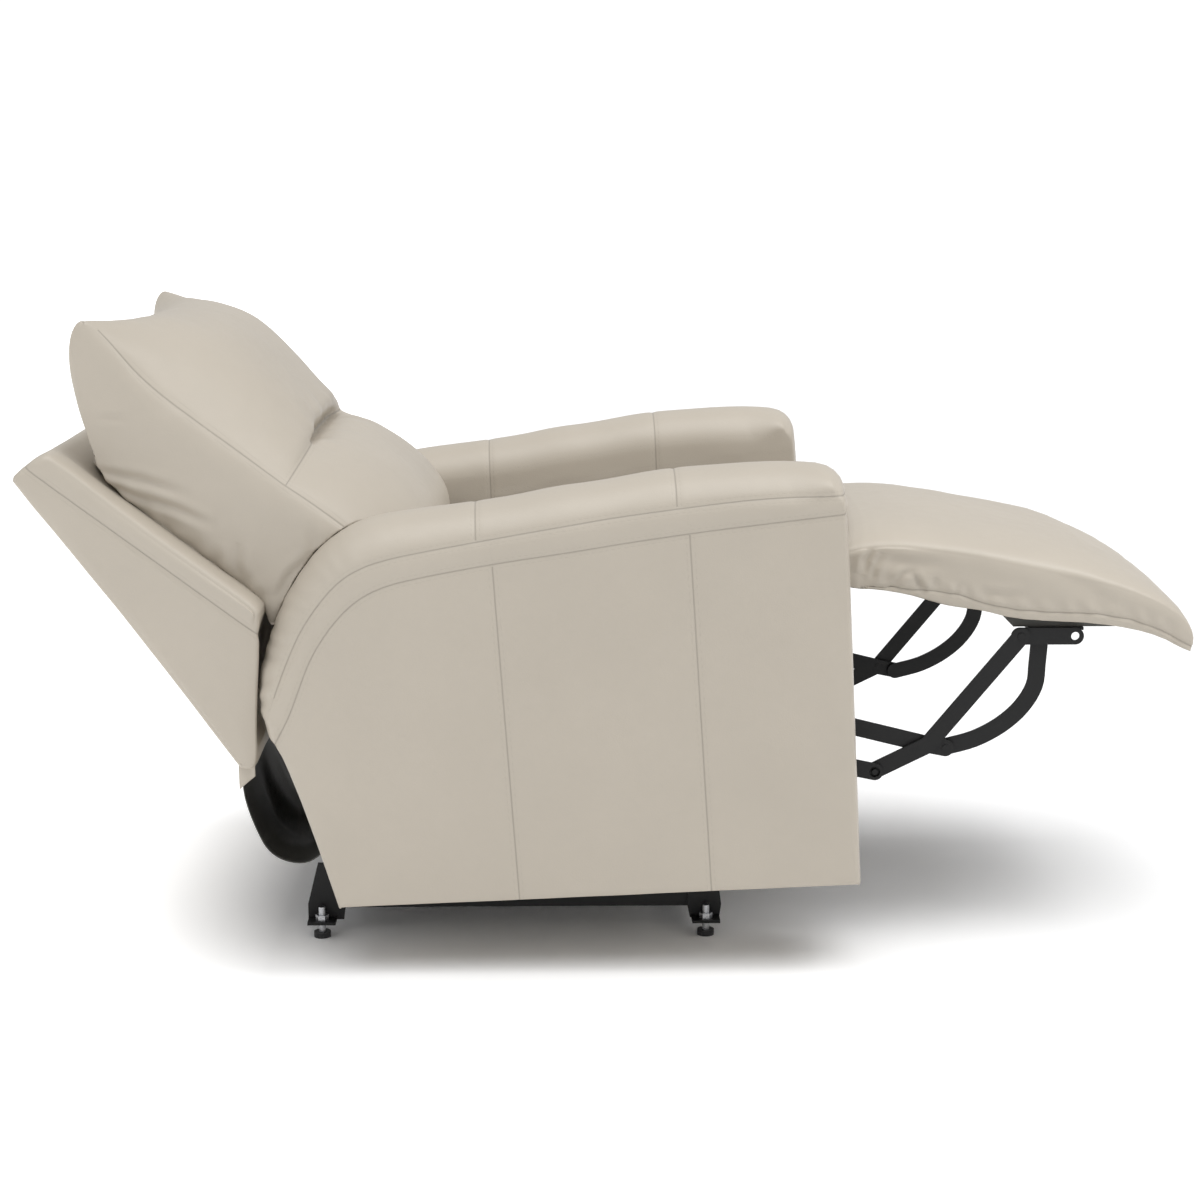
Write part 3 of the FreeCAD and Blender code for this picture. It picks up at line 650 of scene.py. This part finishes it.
def pillow_bend(g, mark):
    x, y, z = g[..., 0], g[..., 1], g[..., 2]
    a, b = back_axes(x, z)
    m = np.abs(mark)
    out = 3.0 * soft_noise(g, 120.0, 21.0) + 1.0 * soft_noise(g, 46.0, 23.0)
    crown = np.clip((b - 150) / 30, 0, 1) * (m < 1)
    # the tuck: a deep crease in the middle, a shallow stitched line towards each side
    deep = np.clip((0.60 - m) / 0.22, 0, 1)
    deep = deep * deep * (3 - 2 * deep)
    centre = tuck_line(b)
    out -= crown * (3.0 + 15.0 * deep) * np.exp(-((a - centre) / (7.0 + 4.0 * deep)) ** 2)
    # the leather gathers towards the crease
    pull = np.exp(-((a - centre) / 46) ** 2) * crown * np.clip(1.0 - m, 0, 1) ** 0.5
    out += pull * 2.4 * np.sin(y / 17.0 + 2.6 * soft_noise(g, 60.0, 29.0))
    out -= 11.0 * crown * np.clip((0.66 - m) / 0.1, 0, 1) * np.exp(-((a - centre) / 4.0) ** 2)
    pinch = np.exp(-((m - 0.58) / 0.05) ** 2) * np.exp(-((a - centre) / 20) ** 2) * crown
    out -= 2.5 * pinch
    side = np.clip((m - 0.99) * 30, 0, 1)
    for line, depth, width in GUSSET_FOLDS:
        out += 0.8 * side * fold(a, b, line, depth, width)
    # small gathers along the gusset's lower edge
    out += side * 1.1 * np.sin(a / 6.5 + 2.0 * soft_noise(g, 40.0, 31.0)) * \
        np.exp(-((b - 4) / 13) ** 2)
    edge = np.where(m < 1, (1 - m) * PILLOW_HALF, (m - 1) * GUSSET)
    out += dip(edge, 1.8, 6.0) * (x > -300)
    ear = np.exp(-((a - 430) / 34) ** 2) * np.clip((m - 0.8) * 5, 0, 1)
    return out * (1 - 0.5 * ear)


def pillow_squeeze(g):
    """Where an arm stands in the way, the pillow gives way to its rounded shoulder."""
    x, y, z = g[..., 0], g[..., 1], g[..., 2]
    outside = signed_distance(x, z, ARM_CREST)
    k = np.clip(-outside / 56.0, 0, 1)
    room = 347 - 70 * np.sqrt(1 - (1 - k) ** 2)
    room = np.where(outside > 0, 360.0, room)
    room = np.where(k >= 1, 276.0, room)
    out = g.copy()
    out[..., 1] = np.sign(y) * np.minimum(np.abs(y), room)
    return out


def gusset_seam(g, m):
    a, b = back_axes(g[..., 0], g[..., 2])
    m = np.abs(m)
    d = np.where(m < 1, (1 - m) * PILLOW_HALF, -(m - 1) * GUSSET) - 0.5
    return seam_where((b > 125) & (a < 418), d)


def tuck_seam(g, m):
    a, b = back_axes(g[..., 0], g[..., 2])
    return seam_where((b > 138) & (np.abs(m) < 1.0), a - tuck_line(b))


pillow = paired("back_pillow_leather", PILLOW_TOP, PILLOW_LOW, PILLOW_HALF, None,
                lambda v: v ** 3.8, lambda v: v ** 6.0, pillow_bend,
                {"seam_one": gusset_seam, "seam_two": tuck_seam}, across=120, along=300,
                panel=44, puff=8.0, squeeze=pillow_squeeze, easing=2)
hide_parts("head_pillow", "lumbar_pillow")
p0 = seat_to_world(np.array([from_back(4, 60)[0], 0.0, from_back(4, 60)[1]])).tolist()
p1 = seat_to_world(np.array([from_back(150, 60)[0], 0.0, from_back(150, 60)[1]])).tolist()
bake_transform(pillow)

# ---------------------------------------------------------------- seat
SEAT_TOP = [(118, 352), (116, 395), (124, 417), (150, 432), (190, 447), (250, 464), (350, 478),
            (450, 488), (550, 496), (650, 492), (716, 479), (756, 460), (788, 446), (810, 432),
            (823, 418), (828, 403)]
SEAT_LOW = [(120, 350), (300, 348), (560, 348), (628, 349), (640, 398), (700, 399), (826, 401)]
SEAT_SIDE = [(120, 352), (120, 390), (128, 408), (150, 418), (196, 432), (250, 448), (350, 460),
             (450, 470), (550, 478), (640, 472), (716, 440), (746, 425), (768, 413), (780, 407),
             (786, 403)]
SEAT_SIDE_LOW = SEAT_LOW[:-1] + [(785, 401)]


def seat_bend(g, mark):
    out = 2.2 * soft_noise(g, 120.0, 51.0) + 1.0 * soft_noise(g, 45.0, 53.0)
    return out * np.clip((g[..., 2] - 420) / 40, 0, 1)


seat_pad = loft("seat_cushion_leather", SEAT_TOP, SEAT_LOW, SEAT_SIDE, SEAT_SIDE_LOW, 258.0,
                lambda v: v ** 3.0, "seat", seat_bend, across=70, along=130,
                panel=12, puff=3.0)
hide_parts("seat_cushion")

# ---------------------------------------------------------------- footrest pad
# The chaise pad, with a collar that lies over the seat's nose.
PAD_TOP = [
    (730, 466, 703, 424), (735, 473, 707, 434), (756, 478, 740, 440), (800, 478, 784, 440),
    (830, 475, 828, 434), (866, 470, 864, 428), (900, 464, 896, 421), (940, 454, 934, 411),
    (1000, 440, 990, 397), (1060, 424, 1046, 382), (1110, 398, 1102, 366), (1152, 373, 1148, 345),
    (1183, 345, 1179, 325), (1198, 318, 1194, 305), (1203, 294, 1198, 288),
    (1197, 279, 1192, 275)]
PAD_LOW = [
    (730, 466, 703, 424), (740, 468, 702, 410), (785, 460, 703, 400), (808, 453, 710, 390),
    (825, 443, 724, 385), (842, 428, 758, 382), (852, 418, 796, 374), (860, 406, 828, 364),
    (862, 392, 850, 357), (872, 372, 872, 352), (905, 350, 905, 346), (945, 337, 945, 333),
    (1000, 334, 1000, 326), (1060, 331, 1060, 322), (1120, 324, 1110, 312),
    (1156, 308, 1152, 298), (1182, 288, 1178, 281), (1197, 279, 1192, 275)]
PAD_FOLDS = [([(745, 428), (772, 424), (800, 418), (850, 414)], 2.6, 9.0),
             ([(752, 440), (742, 424), (738, 404)], 4.0, 6.0),
             ([(764, 436), (752, 414), (748, 394)], 3.0, 5.0),
             ([(806, 404), (814, 386), (822, 374)], 2.6, 4.0),
             ([(778, 388), (792, 402), (806, 408)], 2.6, 4.5),
             ([(838, 398), (832, 378)], 1.8, 4.0), ([(868, 386), (862, 366)], 1.8, 4.0),
             ([(900, 372), (930, 366), (960, 366)], 1.8, 6.0),
             ([(1000, 392), (1050, 372), (1090, 344)], 1.8, 12.0)]


def pad_bend(g, mark):
    x, z = g[..., 0], g[..., 2]
    out = 2.2 * soft_noise(g, 120.0, 61.0) + 0.8 * soft_noise(g, 40.0, 63.0)
    side = np.clip((np.abs(mark) - 0.97) * 25, 0, 1)
    for line, depth, width in PAD_FOLDS:
        out += side * fold(x, z, line, depth, width)
    # gathers by the edge seam
    edge = signed_distance(x, z, PAD_SEAM)
    out += side * 1.3 * np.sin(x / 5.2 + 2.4 * soft_noise(g, 40.0, 69.0)) * \
        np.exp(-((edge - 8) / 9) ** 2)
    out += side * dip(edge, 1.8, 3.0)
    collar = np.clip((860 - x) / 60, 0, 1) * (np.abs(mark) < 1)
    return out * (1 - 0.8 * collar)


PAD_SEAM = [(742, 386), (773, 386), (800, 380), (828, 378), (870, 370), (905, 356), (950, 345),
            (1000, 339), (1060, 335), (1110, 324), (1150, 308), (1192, 283)]


def pad_seam(g, m):
    d = signed_distance(g[..., 0], g[..., 2], PAD_SEAM)
    return seam_where((np.abs(m) > 0.93) & (g[..., 0] > 770), d)


pad = paired("footrest_pad_leather", PAD_TOP, PAD_LOW, 268.0, "footrest",
             rounded(2.3), rounded(2.3), pad_bend, {"seam_one": pad_seam}, across=90,
             along=230, panel=40, puff=2.0)
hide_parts("footrest_cushion")

# ---------------------------------------------------------------- dust cloth
SWAG = [(-122, 204), (-134, 184), (-147, 156), (-148, 120), (-136, 76), (-113, 31), (-80, 14),
        (-52, 20), (-18, 54), (6, 118), (16, 200)]
swag_line = resample(SWAG, 70, 2)
ys = np.linspace(-221, 221, 60)
cloth = np.empty((len(ys), len(swag_line), 3))
for j, y in enumerate(ys):
    cloth[j, :, 0] = swag_line[:, 0]
    cloth[j, :, 1] = y
    cloth[j, :, 2] = swag_line[:, 1]
along_t = np.linspace(0, 1, len(swag_line))[None, :]
belly = np.sin(along_t * math.pi)
ripple = 5.0 * np.sin(cloth[..., 1] / 31.0 + 1.7 * soft_noise(cloth, 90.0, 81.0)) * belly
cn = grid_normals(cloth, False)
cloth = cloth + cn * (ripple + 3.0 * soft_noise(cloth, 60.0, 83.0) * belly)[..., None]
cloth[..., 2] -= 6.0 * belly * np.cos(cloth[..., 1] / 221 * math.pi / 2)
swag = mesh_object("dust_cloth_sheet", seat_to_world(cloth).reshape(-1, 3),
                   grid_faces(*cloth.shape[:2]), CLOTH, None)
thicken(swag, 0.0016)
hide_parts("pull_cloth")
# a strip of the cover hangs below the back's edge and turns the corner at each end
turn = np.linspace(0, 22, 10)
hem_path = np.vstack([np.column_stack([turn[::-1], np.full(10, -392.0)])[:-1],
                      np.column_stack([np.zeros(90), np.linspace(-392, 392, 90)]),
                      np.column_stack([turn, np.full(10, 392.0)])[1:]])
count = len(hem_path)
hang = np.linspace(0, 1, 12)[None, :]
hem = np.empty((count, 12, 3))
lift = hem_path[:, :1] / 22.0
out_there = np.clip((310 - np.abs(hem_path[:, 1:])) / 70, 0, 1)
hem[..., 0] = -127 + hem_path[:, :1] - hang * (1 + 17 * out_there)
hem[..., 1] = hem_path[:, 1:]
hem[..., 2] = 206 - hang * (36 - 16 * lift)
wave = 1.6 * hang * np.sin(hem[..., 1] / 21.0 + 2 * soft_noise(hem, 60.0, 91.0))
hem[..., 0] -= wave * (lift == 0)
hem[..., 1] += np.sign(hem[..., 1]) * (lift > 0) * 2.0 * hang * np.sin(hem_path[:, :1] / 4.0)
hem_piece = mesh_object("back_hem_leather", seat_to_world(hem).reshape(-1, 3),
                        grid_faces(count, 12), LEATHER, "back",
                        {k: np.ones(count * 12) for k in SEAMS})
thicken(hem_piece, 0.0016)
p0 = seat_to_world(np.array([-50.0, 0.0, 30.0])).tolist()
p1 = seat_to_world(np.array([-140.0, 0.0, 190.0])).tolist()
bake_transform(swag)

# ---------------------------------------------------------------- CAD nodes' finishes
FINISH = {"black_steel": STEEL, "spring_steel": SPRING, "zinc_steel": ZINC, "foot": PLASTIC,
          "wood": WOOD, "plastic": PLASTIC, "switch": GLOSSY, "webbing": WEBBING,
          "dust_cloth": CLOTH, "leather": LEATHER, "leather_back": LEATHER}
slots = {s["node"]: s["material_slot"] for s in frame["record"]["subparts"]}
for node, ob in frame["nodes"].items():
    mats = ob.data.materials
    mats.clear()
    wrapped = node == "footrest_board" or node.startswith("seat_rail")
    mats.append(CLOTH if wrapped else FINISH[slots[node]])
# the levelling feet have a plated stem on a black pad, and a plated nut on the bracket
for place in ("front_left", "front_right", "rear_left", "rear_right"):
    low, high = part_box("foot_" + place)
    axis = Vector(((low[0] + high[0]) / 2, (low[1] + high[1]) / 2))
    for node, start in (("foot_" + place, 0.0085), ("foot_bracket_" + place, 0.0246)):
        me = frame["nodes"][node].data
        me.materials.append(ZINC)
        for poly in me.polygons:
            c = poly.center
            if c.z > start and (Vector((c.x, c.y)) - axis).length < 0.0098:
                poly.material_index = 1

# ---------------------------------------------------------------- floor, light, camera
floor_mesh = bpy.data.meshes.new("floor")
floor_corners = [(-40, -12, 0), (40, -12, 0), (40, 70, 0), (-40, 70, 0)]
floor_mesh.from_pydata(floor_corners, [], [(0, 1, 2, 3)])
floor = bpy.data.objects.new("floor", floor_mesh)
bpy.context.collection.objects.link(floor)
floor_mat, nt, bsdf, tc = material("pale_floor_painted_glow")
tone = noise_node(nt, tc.outputs["Object"], 3.0)
nt.links.new(mix_color(nt, tone, (0.965, 0.965, 0.965, 1), (0.975, 0.975, 0.975, 1)),
             bsdf.inputs["Base Color"])
bsdf.inputs["Roughness"].default_value = 0.9
bsdf.inputs["Specular IOR Level"].default_value = 0.1
# painted light: the floor glows white beside the chair's back, washing out the chair's shadow
# there
split = nt.nodes.new("ShaderNodeSeparateXYZ")
nt.links.new(tc.outputs["Object"], split.inputs[0])
painted_glow_beside = math_node(nt, "MULTIPLY", math_node(nt, "ADD", split.outputs[0], 0.48), -5.0, True)
# the emission is painted light, strongest left of the chair's back and fading out towards it
nt.links.new(math_node(nt, "MULTIPLY", painted_glow_beside, 0.42), bsdf.inputs["Emission Strength"])
bsdf.inputs["Emission Color"].default_value = (1, 1, 1, 1)
floor_mesh.materials.append(floor_mat)

world = bpy.data.worlds.new("studio")
bpy.context.scene.world = world
world.use_nodes = True
wt = world.node_tree
soft = wt.nodes["Background"]
soft.inputs[0].default_value = (0.985, 0.99, 1, 1)
soft.inputs[1].default_value = 0.62
sweep = wt.nodes.new("ShaderNodeBackground")
sweep.inputs[0].default_value = (1, 1, 1, 1)
sweep.inputs[1].default_value = 1.1
ray = wt.nodes.new("ShaderNodeLightPath")
both = wt.nodes.new("ShaderNodeMixShader")
wt.links.new(ray.outputs["Is Camera Ray"], both.inputs[0])
wt.links.new(soft.outputs[0], both.inputs[1])
wt.links.new(sweep.outputs[0], both.inputs[2])
wt.links.new(both.outputs[0], wt.nodes["World Output"].inputs[0])


def area(name, place, target, size, power):
    light = bpy.data.lights.new(name, "AREA")
    light.shape = "RECTANGLE"
    light.size = size[0]
    light.size_y = size[1]
    light.energy = power
    ob = bpy.data.objects.new(name, light)
    ob.location = place
    ob.rotation_euler = (Vector(target) - Vector(place)).to_track_quat("-Z", "Y").to_euler()
    bpy.context.collection.objects.link(ob)
    return ob


sun_data = bpy.data.lights.new("softbox_above", "SUN")
sun_data.energy = 1.75
sun_data.angle = math.radians(50)
sun = bpy.data.objects.new("softbox_above", sun_data)
sun.rotation_euler = Vector((-0.02, 0.27, -1.0)).to_track_quat("-Z", "Y").to_euler()
bpy.context.collection.objects.link(sun)
area("sheen", (2.0, -0.6, 3.0), (-0.3, 0.0, 0.7), (1.2, 1.2), 26)

cam_data = bpy.data.cameras.new("camera")
cam_data.sensor_width = 36.0
cam_data.lens = 72.0
camera = bpy.data.objects.new("camera", cam_data)
yaw = math.radians(1.0558)
pitch = math.radians(10.62)
camera.location = (-0.0861, -3.539, 1.10477)
look = Vector((math.sin(yaw) * math.cos(pitch), math.cos(yaw) * math.cos(pitch), -math.sin(pitch)))
camera.rotation_euler = look.to_track_quat("-Z", "Y").to_euler()
bpy.context.collection.objects.link(camera)
bpy.context.scene.camera = camera
bpy.context.scene.view_settings.view_transform = "Standard"
